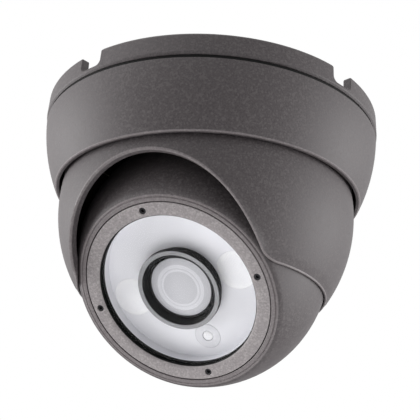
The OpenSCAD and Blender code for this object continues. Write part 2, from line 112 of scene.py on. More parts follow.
@dataclass(frozen=True)
class Finish:
    """A surface finish that lets no light through.

    Attributes:
        name: the real material and how its surface is made.
        slot: the name of the material slot; not used.
        colour: the main colour, as an sRGB code.
        tint: the colour that the pattern brings in.
        pattern: the kind of texture.
        size_mm: the size of one grain, cell or streak.
        share: how far the pattern moves the colour, from 0 to 1.
        metallic: 1 for bare metal.
        roughness: the middle of the roughness range.
        spread: how far the pattern moves the roughness each way.
        relief_um: the height of the relief, in micrometres.
        light: the amount that light glows through a thin milky wall.
        ior: the refractive index.
    """

    name: str
    slot: str
    colour: str
    tint: str
    pattern: Pattern = Pattern.GRAIN
    size_mm: float = 0.5
    share: float = 0.3
    metallic: float = 0.0
    roughness: float = 0.5
    spread: float = 0.06
    relief_um: float = 12.0
    light: float = 0.0
    ior: float = 1.5

    def material(self) -> Material:
        """Returns the finish's material, made on first use."""
        known = bpy.data.materials.get(self.name)
        return known if known else self.build()

    def build(self) -> Material:
        """Makes the node tree.

        Returns:
            The new material.
        """
        made = bpy.data.materials.new(self.name)
        made.use_nodes = True
        tree = made.node_tree
        tree.nodes.clear()
        output = add(tree, "OutputMaterial")
        shader = self.shader(tree)
        tree.links.new(shader.outputs[0], output.inputs["Surface"])
        return made

    def shader(self, tree: NodeTree) -> Node:
        """Adds the surface shader with its pattern.

        Args:
            tree: the material's node tree.

        Returns:
            The shader node.
        """
        height = self.height(tree)
        colour = add(tree, "ValToRGB", links={"Fac": height})
        ramp = colour.color_ramp.elements
        main, tint = linear(self.colour), linear(self.tint)
        ramp[0].position, ramp[1].position = 0.25, 0.8
        ramp[0].color = main
        ramp[1].color = tuple(m + (t - m) * self.share for m, t in zip(main, tint))
        rough = add(
            tree, "MapRange",
            {"From Min": 0.2, "From Max": 0.8, "To Min": self.roughness - self.spread,
             "To Max": self.roughness + self.spread},
            {"Value": height},
        )
        relief = self.relief(tree, height)
        return add(
            tree, "BsdfPrincipled",
            {"Metallic": self.metallic, "IOR": self.ior, "Subsurface Weight": self.light,
             "Subsurface Radius": (0.002, 0.002, 0.002)},
            {"Base Color": colour.outputs["Color"], "Roughness": rough.outputs[0],
             "Normal": relief.outputs[0]},
        )

    def relief(self, tree: NodeTree, height: NodeSocket) -> Node:
        """Adds the bump that turns the texture's value into relief."""
        settings = {"Strength": 1.0, "Distance": self.relief_um * UM}
        return add(tree, "Bump", settings, {"Height": height})

    def height(self, tree: NodeTree) -> NodeSocket:
        """Adds the texture that drives colour, roughness and relief.

        Args:
            tree: the material's node tree.

        Returns:
            The texture's value, around 0 to 1.
        """
        place = add(tree, "TexCoord").outputs["Object"]
        per_metre = 1 / (self.size_mm * MM)
        if self.pattern is Pattern.BRUSHED:
            place = add(tree, "Mapping", {"Scale": (0.04, 1.0, 1.0)}, {"Vector": place}).outputs[0]
        if self.pattern is Pattern.CELLS:
            turn = (math.radians(-90 - AIM_DEG), 0.0, math.radians(45))
            place = add(tree, "Mapping", {"Rotation": turn}, {"Vector": place}).outputs[0]
            cells = add(
                tree, "TexVoronoi", {"Scale": per_metre, "Randomness": 0.25}, {"Vector": place}
            )
            return cells.outputs["Distance"]
        detail = {Pattern.CLOUDY: 1.0, Pattern.BRUSHED: 4.0}.get(self.pattern, 2.5)
        noise = add(
            tree, "TexNoise", {"Scale": per_metre, "Detail": detail}, {"Vector": place}
        ).outputs["Fac"]
        if self.pattern is not Pattern.SPARKLE:
            return noise
        flakes = add(tree, "TexVoronoi", {"Scale": per_metre * 0.9}, {"Vector": place})
        chance = add(tree, "SeparateColor", links={"Color": flakes.outputs["Color"]})
        bright = add(
            tree, "MapRange", {"From Min": 0.72, "From Max": 0.98, "To Max": 0.5},
            {"Value": chance.outputs[0]},
        )
        both = add(tree, "Math", {"operation": "ADD"}, {0: noise, 1: bright.outputs[0]})
        return both.outputs[0]


@dataclass(frozen=True)
class ClearFinish(Finish):
    """A finish that light passes through.

    Attributes:
        haze: how much of the surface scatters light instead of passing it.
    """

    haze: float = 0.0

    def shader(self, tree: NodeTree) -> Node:
        """Adds a glass shader that lets lamp light and soft light straight through.

        Args:
            tree: the material's node tree.

        Returns:
            The shader node.
        """
        height = self.height(tree)
        relief = self.relief(tree, height)
        glass = add(
            tree, "BsdfPrincipled",
            {"Base Color": linear(self.colour), "Roughness": self.roughness, "IOR": self.ior,
             "Transmission Weight": 1.0 - self.haze},
            {"Normal": relief.outputs[0]},
        )
        path = add(tree, "LightPath")
        soft = add(
            tree, "Math", {"operation": "MAXIMUM"},
            {0: path.outputs["Is Shadow Ray"], 1: path.outputs["Is Diffuse Ray"]},
        )
        open_way = add(tree, "BsdfTransparent", {"Color": linear(self.tint)})
        passing = add(
            tree, "Math", {"operation": "MULTIPLY", 1: 1.0 - self.haze}, {0: soft.outputs[0]}
        )
        shares = {0: passing.outputs[0], 1: glass.outputs[0], 2: open_way.outputs[0]}
        return add(tree, "MixShader", links=shares)


# Graphite powder coat on die-cast aluminium: dull, warm dark grey, with a fine bright fleck. The
# grain is drawn at 0.5 mm, coarser than real, so that it shows.
POWDER_COAT = Finish(
    "powder_coated_aluminium_graphite", "dark_powder_coat", "#312a2d", "#d2cdcb",
    Pattern.SPARKLE, 0.5, 0.085, 0.0, 0.6, 0.08, 22.0,
)
# The same coat painted paler along turned lips: a painted highlight, the light line that the
# rounded lips catch.
PAINTED_LIP_HIGHLIGHT = Finish(
    "powder_coat_painted_lip_highlight", "dark_powder_coat", "#5a5355", "#d8d3d1",
    Pattern.SPARKLE, 0.5, 0.11, 0.0, 0.5, 0.08, 16.0,
)
# The same coat in a lighter, warmer grey: it sets the bezel off against the eyeball.
BEZEL_COAT = Finish(
    "powder_coated_aluminium_warm_grey", "grey_powder_coat", "#716b6d", "#dcd7d4",
    Pattern.SPARKLE, 0.5, 0.22, 0.0, 0.55, 0.06, 16.0,
)
# Moulded nitrile rubber: nearly black and dull, with a faint mould grain. It also paints shade on
# the bezel's inner edge.
RUBBER_AND_PAINTED_SHADE = Finish(
    "moulded_nitrile_rubber_and_painted_shade", "black_rubber", "#070707", "#121212",
    Pattern.GRAIN, 0.5, 0.5, 0.0, 0.62, 0.06, 10.0, ior=1.25,
)
# Turned stainless steel: bright, with fine tool streaks.
STEEL = Finish(
    "turned_stainless_steel", "stainless_steel", "#b9bab9", "#dcdddc",
    Pattern.BRUSHED, 0.25, 0.6, 1.0, 0.3, 0.08, 3.0,
)
# Black-oxide steel: a dark conversion coat that keeps a metal glint.
BLACK_STEEL = Finish(
    "black_oxide_steel", "black_steel", "#1b1b1d", "#3a3a3d",
    Pattern.GRAIN, 0.3, 0.5, 0.8, 0.38, 0.08, 4.0,
)
# Moulded acetal: milky white and slightly waxy.
ACETAL = Finish(
    "moulded_acetal", "acetal", "#d9d6cd", "#efece4",
    Pattern.CLOUDY, 2.0, 0.5, 0.0, 0.4, 0.05, 4.0,
)
# Float glass with an anti-reflection coat on both faces, which the low index stands for: all but
# unseen, so that the blacks behind it stay black.
WINDOW = ClearFinish(
    "coated_float_glass", "window_glass", "#ffffff", "#fafafb",
    Pattern.CLOUDY, 12.0, 0.1, 0.0, 0.0, 0.0, 0.5, ior=1.1,
)
# Moulded white polycarbonate: a pale, smooth reflector with soft broad shading.
REFLECTOR = Finish(
    "moulded_white_polycarbonate", "white_plastic", "#e5e5e9", "#f0f0f3",
    Pattern.CLOUDY, 9.0, 0.5, 0.0, 0.38, 0.05, 3.0,
)
# Satin chrome on brass: a soft grey ring with fine turning marks.
SATIN_CHROME = Finish(
    "satin_chromed_brass", "chromed_ring", "#757577", "#8b8b8d",
    Pattern.GRAIN, 0.35, 0.5, 1.0, 0.42, 0.06, 3.0,
)
# Matt optical lacquer on the ring's flanks: deep black, so that nothing glints beside the lens.
BLACK_LACQUER = Finish(
    "matt_black_optical_lacquer", "chromed_ring", "#0a0a0b", "#151516",
    Pattern.GRAIN, 0.35, 0.4, 0.0, 0.4, 0.05, 3.0, ior=1.15,
)
# Coated optical glass, drawn opaque in light grey: a painted reflection of the pale studio.
LENS_PAINTED_REFLECTION = Finish(
    "optical_glass_painted_reflection", "lens_glass", "#b5b5b9", "#bebec2",
    Pattern.CLOUDY, 6.0, 0.5, 0.0, 0.12, 0.04, 0.5,
)
# The same glass painted lighter in two rings: a painted reflection standing in for the glint off
# the rims of the deeper elements.
LENS_PAINTED_RIM_GLINT = Finish(
    "optical_glass_painted_rim_glints", "lens_glass", "#c9c9cd", "#d1d1d5",
    Pattern.CLOUDY, 6.0, 0.5, 0.0, 0.12, 0.04, 0.5,
)
# Black anodised aluminium: deep black with a tight satin glint.
BLACK_ANODISED = Finish(
    "black_anodised_aluminium", "black_aluminium", "#141415", "#2b2b2d",
    Pattern.BRUSHED, 0.2, 0.5, 0.7, 0.32, 0.08, 3.0,
)
# Moulded black polyamide: matt, with the mould's spark texture.
BLACK_PLASTIC = Finish(
    "moulded_black_polyamide", "black_plastic", "#191a1b", "#303132",
    Pattern.GRAIN, 0.4, 0.5, 0.0, 0.55, 0.06, 10.0,
)
# Infrared-cut filter glass: a rose tint over a clear pane.
FILTER_GLASS = ClearFinish(
    "coated_filter_glass", "filter_glass", "#d9a3ac", "#d9a3ac",
    Pattern.CLOUDY, 6.0, 0.1, 0.0, 0.02, 0.0, 0.5, ior=1.52,
)
# Image sensor under its glass lid: dark blue-black with an oily sheen.
SILICON = Finish(
    "packaged_silicon", "silicon", "#2b3040", "#4d566e",
    Pattern.CELLS, 0.6, 0.4, 0.0, 0.12, 0.03, 1.0,
)
# Solder-masked circuit board: green lacquer over the copper's faint relief.
GREEN_BOARD = Finish(
    "solder_masked_board_green", "green_circuit_board", "#1a5c3a", "#2f7d53",
    Pattern.CELLS, 1.6, 0.6, 0.0, 0.35, 0.06, 12.0,
)
# White solder mask, which throws the lamps' light forward.
WHITE_BOARD = Finish(
    "solder_masked_board_white", "white_circuit_board", "#e2e2e4", "#f1f1f2",
    Pattern.CELLS, 1.6, 0.5, 0.0, 0.35, 0.06, 8.0,
)
# Turned brass: warm yellow metal with fine tool streaks.
BRASS = Finish(
    "turned_brass", "brass", "#c59a4a", "#e3c078",
    Pattern.BRUSHED, 0.25, 0.6, 1.0, 0.32, 0.08, 3.0,
)
# Phosphor-filled silicone over the lamp chips: matt yellow with fine grit.
PHOSPHOR = Finish(
    "potted_phosphor_silicone", "lamp_phosphor", "#e0c465", "#f2e09a",
    Pattern.GRAIN, 0.3, 0.6, 0.0, 0.6, 0.05, 10.0,
)
# Moulded acrylic with a pillowed face: milky white. The pillows are drawn at 0.7 mm, coarser than
# real, so that they show.
LAMP_CAP = Finish(
    "moulded_prismatic_acrylic", "clear_plastic", "#f0f0f3", "#ffffff",
    Pattern.CELLS, 0.7, 0.9, 0.0, 0.16, 0.05, 80.0, 0.2,
)
# Clear cast acrylic, slightly frosted: a pale ring that shows the tray through it.
FROSTED = Finish(
    "frosted_cast_acrylic", "clear_plastic", "#d6d6da", "#e9e9ec",
    Pattern.CLOUDY, 1.5, 0.5, 0.0, 0.25, 0.05, 4.0, 0.2,
)
# Chip resin: matt near-black with a fine moulded grit.
CHIP_RESIN = Finish(
    "moulded_epoxy_resin", "chip_resin", "#222325", "#3b3c3f",
    Pattern.GRAIN, 0.3, 0.5, 0.0, 0.6, 0.05, 8.0,
)
# Drawn aluminium cans: bright with a soft drawn streak.
CAN = Finish(
    "drawn_aluminium", "can_aluminium", "#b2b3b4", "#d4d5d6",
    Pattern.BRUSHED, 0.3, 0.5, 1.0, 0.32, 0.07, 3.0,
)
# Moulded white nylon: warm white and satin.
NYLON = Finish(
    "moulded_white_nylon", "white_nylon", "#e4e2d6", "#f3f1e8",
    Pattern.GRAIN, 0.4, 0.5, 0.0, 0.45, 0.05, 6.0,
)
# Spun-fibre sachet paper: off-white with short fibres.
PAPER = Finish(
    "spun_fibre_paper", "paper_sachet", "#e3dfd4", "#f4f1e9",
    Pattern.BRUSHED, 0.3, 0.8, 0.0, 0.85, 0.05, 30.0,
)


# ---- shapes


def arc(radius: float, centre: float, start: float, end: float, steps: int) -> list[Corner]:
    """Points on a circle whose centre lies on the turning axis.

    Args:
        radius: the circle's radius, in millimetres.
        centre: the height of its centre.
        start: the height of the first point.
        end: the height of the last point.
        steps: how many spans lie between them.

    Returns:
        Corners without rounding, evenly spaced along the circle.
    """
    first, last = (math.asin((h - centre) / radius) for h in (start, end))
    angles = [first + (last - first) * i / steps for i in range(steps + 1)]
    return [(radius * math.cos(a), centre + radius * math.sin(a), 0.0) for a in angles]


def dome(radius: float, rise: float, top: float, steps: int) -> list[Corner]:
    """A shallow dome's profile, up to the axis.

    Args:
        radius: the dome's radius at its edge, in millimetres.
        rise: how far its middle stands above that edge.
        top: the height of its middle.
        steps: how many spans it has.

    Returns:
        Corners without rounding.
    """
    bulge = (radius**2 + rise**2) / (2 * rise)
    return [*arc(bulge, top - bulge, top - rise, top - 0.0001, steps)[:-1], (0, top, 0)]


def across(radius: float, rise: float) -> float:
    """Returns a circle's half width at a distance from its middle, or 0 past its end."""
    return math.sqrt(max(radius**2 - rise**2, 0.0))


def round_point(radius: float, turn: float, height: float) -> Vector:
    """Returns the point at a radius, a turn from the front and a height."""
    return Vector((radius * math.sin(turn), -radius * math.cos(turn), height))


def turn_of(point: Vector) -> float:
    """Returns a point's turn from the front."""
    return math.atan2(point.x, -point.y)


def round_corners(mesh: BMesh, corners: Sequence[Corner]) -> None:
    """Draws a profile in the XZ plane and rounds its corners.

    Args:
        mesh: an empty bmesh, which gets the profile.
        corners: radius, height and rounding of each corner, in millimetres.
    """
    points = [mesh.verts.new((r * MM, 0, h * MM)) for r, h, _ in corners]
    spans = list(zip(points, points[1:]))
    if corners[0][0] > 0 or corners[-1][0] > 0:
        spans.append((points[-1], points[0]))
    for a, b in spans:
        mesh.edges.new((a, b))
    for point, (_, _, rounding) in zip(points, corners):
        if rounding > 0:
            bmesh.ops.bevel(
                mesh, geom=[point], offset=rounding * MM, offset_type="OFFSET",
                segments=4, profile=0.5, affect="VERTICES", material=-1,
            )


def turned(corners: Sequence[Corner], steps: int = 160) -> BMesh:
    """Turns a profile about the Z axis.

    Args:
        corners: the profile, closed by itself or by the axis.
        steps: how many steps make the full turn.

    Returns:
        A closed bmesh with outward faces.
    """
    mesh = bmesh.new()
    round_corners(mesh, corners)
    bmesh.ops.spin(
        mesh, geom=mesh.verts[:] + mesh.edges[:], cent=(0, 0, 0), axis=(0, 0, 1),
        angle=math.tau, steps=steps, use_merge=True,
    )
    bmesh.ops.remove_doubles(mesh, verts=mesh.verts[:], dist=1e-7)
    bmesh.ops.recalc_face_normals(mesh, faces=mesh.faces[:])
    return mesh


def joined(meshes: Sequence[BMesh], places: Sequence[Matrix]) -> BMesh:
    """Puts several shapes into one bmesh.

    Args:
        meshes: the shapes, which are used up.
        places: where each one goes.

    Returns:
        One bmesh with all of them.
    """
    whole = bmesh.new()
    for mesh, place in zip(meshes, places):
        mesh.transform(place)
        carrier = bpy.data.meshes.new("carrier")
        mesh.to_mesh(carrier)
        mesh.free()
        whole.from_mesh(carrier)
        bpy.data.meshes.remove(carrier)
    return whole


def as_object(name: str, mesh: BMesh) -> Object:
    """Makes a scene object of a shape.

    Args:
        name: the name of the object and its mesh.
        mesh: the shape, which is used up.

    Returns:
        The new object.
    """
    data = bpy.data.meshes.new(name)
    mesh.to_mesh(data)
    mesh.free()
    made = bpy.data.objects.new(name, data)
    bpy.context.scene.collection.objects.link(made)
    return made


def cut(target: Object, cutter: BMesh) -> None:
    """Cuts one shape out of a piece.

    Args:
        target: the piece, whose mesh is changed.
        cutter: the shape to take away, which is used up.
    """
    tool = as_object("cutter", cutter)
    data = tool.data
    away = target.modifiers.new("cut", "BOOLEAN")
    away.object = tool
    away.operation = "DIFFERENCE"
    away.solver = "EXACT"
    bpy.context.view_layer.update()
    ready = target.evaluated_get(bpy.context.evaluated_depsgraph_get())
    finished = bpy.data.meshes.new_from_object(ready)
    target.modifiers.clear()
    target.data = finished
    bpy.data.objects.remove(tool)
    bpy.data.meshes.remove(data)


@dataclass
class Piece:
    """A fine mesh that stands for one CAD node.

    Attributes:
        node: the CAD node that it replaces, which also names it.
        body: the CAD body that it rides on.
        finish: its surface.
        sharp_deg: edges that turn more than this stay crisp.
        second: a second finish.
        where: picks the faces that wear it, in the shape's own frame.
    """

    node: str
    body: str
    finish: Finish
    sharp_deg: float = 32.0
    second: Finish | None = None
    where: FaceTest | None = None

    def place(
        self,
        mesh: BMesh,
        frame_of: Matrix | None = None,
        cutter: BMesh | None = None,
    ) -> Object:
        """Makes the object, dresses it and puts it on its body.

        Args:
            mesh: the shape, which is used up.
            frame_of: where the shape's own frame lies.
            cutter: a shape to cut out of it, in the same frame.

        Returns:
            The finished object.
        """
        mesh.normal_update()
        for face in mesh.faces:
            spot = face.calc_center_median() / MM
            r = math.hypot(spot.x, spot.y)
            face.material_index = int(self.where(face, r, spot.z)) if self.where else 0
        if frame_of:
            mesh.transform(frame_of)
        made = as_object(self.node + "_fine", mesh)
        for finish in filter(None, (self.finish, self.second)):
            made.data.materials.append(finish.material())
        if cutter:
            if frame_of:
                cutter.transform(frame_of)
            cut(made, cutter)
        made.data.polygons.foreach_set("use_smooth", [True] * len(made.data.polygons))
        made.data.set_sharp_from_angle(angle=math.radians(self.sharp_deg))
        even = made.modifiers.new("even_shading", "WEIGHTED_NORMAL")
        even.keep_sharp = True
        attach(made, self.body)
        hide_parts(self.node)
        LOG.info("%s: %d faces, %s", made.name, len(made.data.polygons), self.finish.name)
        return made


def dress(finish: Finish, *nodes: str) -> None:
    """Gives CAD nodes their finish.

    Args:
        finish: the finish that covers them.
        nodes: their names.
    """
    for node in nodes:
        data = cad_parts[node].data
        data.materials.clear()
        data.materials.append(finish.material())
        LOG.info("%s: as packed, %s", node, finish.name)


# ---- walls with a shaped edge


@dataclass
class LippedWall:
    """A round wall whose one edge follows an outline, with a rounded lip along it.

    Attributes:
        outer: the outside's radius at a height.
        inner: the inside's radius at a height.
        rest: the profile that joins the outside to the inside at the other end.
        rows: how many rows of faces run between the lip and that profile.
        lip_spans: how many spans each of the lip's two roundings has.
        outer_round: the outside rounding's size.
        inner_round: the inside rounding's size.
    """

    outer: Callable[[float], float]
    inner: Callable[[float], float]
    rest: Sequence[Corner]
    rows: int = 24
    lip_spans: int = 4
    outer_round: float = 0.75
    inner_round: float = 0.4

    def lip(self, outside: Sequence[Vector], inside: Sequence[Vector], index: int) -> list[Vector]:
        """Rounds the edge at one column.

        Args:
            outside: the sharp edge's points on the outside, all round.
            inside: the same on the inside.
            index: which column.

        Returns:
            Points from the outside over the edge to the inside.
        """
        count = len(outside)
        points: list[Vector] = []
        across = inside[index] - outside[index]
        width = across.length
        over = across.normalized()
        for edge, way, most in (
            (outside, over, self.outer_round), (inside, -over, self.inner_round)
        ):
            along = (edge[(index + 1) % count] - edge[index - 1]).normalized()
            here = edge[index]
            face = along.cross(over).normalized()
            if face.z < 0:
                face = -face
            outward = Vector((here.x, here.y, 0)).normalized()
            normal = face.cross(along).normalized()
            if normal.dot(outward) < 0:
                normal = -normal
            away = (face - normal * face.dot(normal)).normalized()
            size = min(most, 0.42 * width)
            curve = []
            for i in range(self.lip_spans + 1):
                t = i / self.lip_spans
                curve.append(here + away * (size * (1 - t) ** 2) + way * (size * t**2))
            points += curve if edge is outside else curve[::-1]
        return points

    def loft(
        self, outside: Sequence[Vector], inside: Sequence[Vector], top_turns: Sequence[float]
    ) -> BMesh:
        """Builds the whole wall as one closed net.

        Args:
            outside: the edge's points on the outside, all round, in millimetres.
            inside: the same on the inside.
            top_turns: the turn from the front at which each column ends.

        Returns:
            A closed bmesh, in metres.
        """
        count = len(outside)
        columns: list[list[Vector]] = []
        for index in range(count):
            lip = self.lip(outside, inside, index)
            column: list[Vector] = []
            for radius, start, corner in (
                (self.outer, lip[0], self.rest[0]),
                (self.inner, lip[-1], self.rest[-1]),
            ):
                turn, goal = turn_of(start), top_turns[index]
                turn += round((goal - turn) / math.tau) * math.tau
                run = []
                for row in range(1, self.rows):
                    t = row / self.rows
                    height = start.z + (corner[1] - start.z) * t
                    run.append(round_point(radius(height), turn + (goal - turn) * t, height))
                column = column + lip + run if radius is self.inner else run[::-1]
            ring = [round_point(r, goal, h) for r, h, _ in self.rest]
            columns.append(column + ring[::-1])
        return self.net(columns)

    def net(self, columns: Sequence[Sequence[Vector]]) -> BMesh:
        """Lays a grid over the columns and closes it both ways.

        Args:
            columns: the points of each column, all of one length, in millimetres.

        Returns:
            A closed bmesh with outward faces, in metres. The lip's outer rounding has index 1.
        """
        across, along = len(columns), len(columns[0])
        mesh = bmesh.new()
        bmesh.ops.create_grid(mesh, x_segments=across, y_segments=along, size=1.0)
        # Index 1 marks the lip's outer rounding, which wears the painted highlight.
        for face in mesh.faces:
            row = int((face.calc_center_median().y + 1) / 2 * along)
            face.material_index = int(0 <= row - self.rows + 1 < self.lip_spans)
        for vertex in mesh.verts:
            i = round((vertex.co.x + 1) / 2 * across) % across
            j = round((vertex.co.y + 1) / 2 * along) % along
            vertex.co = columns[i][j] * MM
        bmesh.ops.remove_doubles(mesh, verts=mesh.verts[:], dist=1e-7)
        bmesh.ops.recalc_face_normals(mesh, faces=mesh.faces[:])
        return mesh


# ---- the camera's assemblies


@dataclass
class Base:
    """The ceiling plate with its trim cover. Sizes are in millimetres."""

    cover_r: float = 55.1
    cover_centre: float = -6.8
    cover_top: float = -8.45
    cover_bottom: float = -30.1
    opening_r: float = 48.6
    wall: float = 2.4
    shelf_top: float = -13.2
    shelf_t: float = 1.8
    shelf_r: float = 47.9
    seat_r: float = 53.05
    seat_bottom: float = -12.7
    lock_drop: float = -11.4
    lock_hole_r: float = 1.5
    lip_round: float = 0.45
    gasket_in_r: float = 52.4
    gasket_r: float = 54.5
    gasket_top: float = -7.2
    cast_edge: float = 0.3
    rim_r: float = 54.2
    rim_low: float = -7.0
    rim_high: float = -0.05
    crisp_deg: float = 38.0

    def cover(self) -> None:
        """Turns the trim cover, with the hole for its lock screw."""
        hollow_r = self.cover_r - self.wall
        shelf_low = self.shelf_top - self.shelf_t
        meet = self.cover_centre - across(hollow_r, self.opening_r)
        outside = arc(self.cover_r, self.cover_centre, self.cover_bottom, self.cover_top, 26)
        low = (outside[0][0], outside[0][1], self.lip_round)
        high = (outside[-1][0], outside[-1][1], 0.1)
        inside = arc(hollow_r, self.cover_centre, shelf_low, meet, 14)
        step_r = across(hollow_r, self.shelf_top - self.cover_centre)
        profile = [low, *outside[1:-1], high]
        profile += [(self.seat_r, self.cover_top, 0.2), (self.seat_r, self.seat_bottom, 0)]
        profile += [(step_r, self.seat_bottom, 0), (step_r, self.shelf_top, 0)]
        profile += [(self.shelf_r, self.shelf_top, 0.2), (self.shelf_r, shelf_low, 0.2)]
        profile += inside + [(self.opening_r, self.cover_bottom, 0.25)]
        near, far, r = 40, 60, self.lock_hole_r  # the cutter's ends stand clear of the wall
        hole = turned([(0, near, 0), (r, near, 0), (r, far, 0), (0, far, 0)], 24)
        hole.transform(
            Matrix.Translation((0, 0, self.lock_drop * MM)) @ Matrix.Rotation(-math.pi / 2, 4, "X")
        )
        # The cover's lower lip wears the painted lip highlight.
        edge_r, edge_h = outside[0][0] - 0.5, self.cover_bottom + self.lip_round
        Piece(
            "trim_cover", "base", POWDER_COAT, second=PAINTED_LIP_HIGHLIGHT,
            where=lambda _, r, h: h < edge_h and r > edge_r,
        ).place(turned(profile, 192), None, hole)

    def gasket(self) -> None:
        """Turns the seam gasket."""
        low, top = self.cover_top, self.gasket_top
        profile = [(self.gasket_in_r, low, 0.15), (self.gasket_r, low, 0.2)]
        profile += [(self.gasket_r, top, 0.2), (self.gasket_in_r, top, 0.15)]
        Piece("seam_gasket", "base", RUBBER_AND_PAINTED_SHADE).place(turned(profile, 160))

    def rim_edges(self, mesh: BMesh) -> list[BMEdge]:
        """Finds the crisp edges on the ring's outside and down the notches' mouths.

        Args:
            mesh: the plate.

        Returns:
            The edges.
        """
        found = []
        for edge in mesh.edges:
            middle = (edge.verts[0].co + edge.verts[1].co) / 2 / MM
            outside = math.hypot(middle.x, middle.y) > self.rim_r
            level = self.rim_low < middle.z < self.rim_high
            crisp = edge.is_manifold and edge.calc_face_angle(0) > math.radians(self.crisp_deg)
            if outside and level and crisp:
                found.append(edge)
        return found

    def plate(self) -> None:
        """Rounds the notches' and the ring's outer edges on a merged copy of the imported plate."""
        mesh = bmesh.new()
        mesh.from_mesh(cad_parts["base_plate"].data)
        bmesh.ops.remove_doubles(mesh, verts=mesh.verts[:], dist=1e-6)
        flat = math.radians(1.0)
        bmesh.ops.dissolve_limit(mesh, angle_limit=flat, verts=mesh.verts[:], edges=mesh.edges[:])
        bmesh.ops.bevel(
            mesh, geom=self.rim_edges(mesh), offset=self.cast_edge * MM, segments=4,
            profile=0.5, affect="EDGES", clamp_overlap=False, material=-1,
        )
        bmesh.ops.recalc_face_normals(mesh, faces=mesh.faces[:])
        Piece("base_plate", "base", POWDER_COAT).place(mesh)

    def build(self) -> None:
        """Builds and dresses everything on the base."""
        self.cover()
        self.gasket()
        self.plate()
        dress(RUBBER_AND_PAINTED_SHADE, "cable_grommet")
        dress(STEEL, "cover_lock_screw")
        dress(ACETAL, "upper_glide_ring", "lower_glide_ring")


@dataclass
class Hood:
    """The arched shell that turns under the cover. Sizes are in millimetres."""

    outer_r: float = 48.0
    centre: float = -36.2
    wall: float = 2.5
    rim: float = -63.15
    arch_r: float = 31.5
    arch_centre: float = -65.7
    arch_turn_deg: float = 2.6
    leg_r: float = 2.8
    neck_r: float = 47.4
    neck_in_r: float = 44.9
    top: float = -10.7
    flange_r: float = 50.2
    flange_t: float = 2.0
    socket_r: float = 40.85
    groove_r: float = 42.75
    groove_drop: float = 6.1
    strap_end_r: float = 7.2
    groove_fade: float = 1.2
    ball_centre: float = -50.9
    arch_spans: int = 56
    leg_spans: int = 8
    rim_spans: int = 70

    def outside(self, height: float) -> float:
        """Returns the outside's radius at a height."""
        sphere = across(self.outer_r, height - self.centre)
        return max(sphere, self.neck_r) if height > self.centre else sphere

    def inside(self, height: float) -> float:
        """Returns the inside's radius at a height."""
        hollow = across(self.outer_r - self.wall, height - self.centre)
        socket = across(self.socket_r, height - self.ball_centre)
        return max(hollow, socket, self.neck_in_r if height > self.centre else 0.0)

    def outline(self) -> list[tuple[float, float]]:
        """The right half of the opening, seen from the front.

        Returns:
            Points from the arch's top down to where the leg meets the rim.
        """
        reach = self.arch_r + self.leg_r
        lift = self.rim + self.leg_r - self.arch_centre
        leg_x = across(reach, lift)
        last = math.atan2(leg_x, lift)
        points = []
        for i in range(self.arch_spans + 1):
            a = last * i / self.arch_spans
            points.append((self.arch_r * math.sin(a), self.arch_centre + self.arch_r * math.cos(a)))
        for i in range(1, self.leg_spans + 1):
            turn = math.pi * 1.5 - last + last * i / self.leg_spans
            x = leg_x + self.leg_r * math.cos(turn)
            points.append((x, self.arch_centre + lift + self.leg_r * math.sin(turn)))
        return points

    def edge_line(self, radius: Callable[[float], float]) -> list[Vector]:
        """Lays the opening and the rim on the shell's outside or inside.

        Args:
            radius: that side's radius at a height.

        Returns:
            Points all round, from the arch's top.
        """
        right = [Vector((x, -across(radius(z), x), z)) for x, z in self.outline()]
        start = turn_of(right[-1])
        for i in range(1, self.rim_spans + 1):
            turn = start + (math.pi - start) * (i / self.rim_spans)
            right.append(round_point(radius(self.rim), turn, self.rim))
        return right + [point * Vector((-1, 1, 1)) for point in right[-2:0:-1]]

    def shell(self) -> None:
        """Lofts the shell from its opening and rim up to its flange."""
        outside, inside = self.edge_line(self.outside), self.edge_line(self.inside)
        even = len(outside)
        own = []
        for index, point in enumerate(outside):
            turn = turn_of(point) + (math.tau if index > even / 2 else 0.0)
            own.append(0.35 * turn + 0.65 * math.tau * index / even)
        neck = self.centre + across(self.outer_r, self.neck_r)
        neck_in = self.centre + across(self.outer_r - self.wall, self.neck_in_r)
        low = self.top - self.flange_t
        rest = [(self.neck_r, neck, 0), (self.neck_r, low, 0), (self.flange_r, low, 0)]
        rest += [(self.flange_r, self.top, 0), (self.neck_in_r, self.top, 0)]
        rest += [(self.neck_in_r, neck_in, 0)]
        wall = LippedWall(self.outside, self.inside, rest)
        mesh = wall.loft(outside, inside, own)
        mesh.transform(Matrix.Rotation(math.radians(self.arch_turn_deg), 4, "Z"))
        self.clear_strap(mesh)
        # The lip's outer rounding, all round the arch and the rim, wears the painted lip highlight.
        Piece(
            "hood_shell", "hood", POWDER_COAT, 40.0, PAINTED_LIP_HIGHLIGHT,
            lambda face, *_: face.material_index == 1,
        ).place(mesh)

    def clear_strap(self, mesh: BMesh) -> None:
        """Presses room for the yoke into the inside, at both axles and behind them.

        Args:
            mesh: the shell, which is changed.
        """
        centre = Vector((0, 0, self.ball_centre * MM))
        for vertex in mesh.verts:
            arm = vertex.co - centre
            away = math.hypot(vertex.co.y, arm.z) / MM
            reach = arm.length / MM
            drop = -arm.z / MM
            depth = min((self.strap_end_r - away) / self.groove_fade, 1.0)
            if vertex.co.y > 0 and drop > -1.0:
                depth = max(depth, min((self.groove_drop - drop) / self.groove_fade, 1.0))
            if depth > 0 and reach < self.groove_r:
                vertex.co = centre + arm * ((reach + (self.groove_r - reach) * depth) / reach)

    def build(self) -> None:
        """Builds and dresses everything on the hood."""
        self.shell()
        dress(STEEL, "tilt_axles")


@dataclass
class Yoke:
    """The steel strap behind the eyeball, with its washers."""

    def build(self) -> None:
        """Dresses everything on the yoke."""
        dress(STEEL, "tilt_yoke", "swivel_spring_washer")
        dress(NYLON, "swivel_friction_disc")


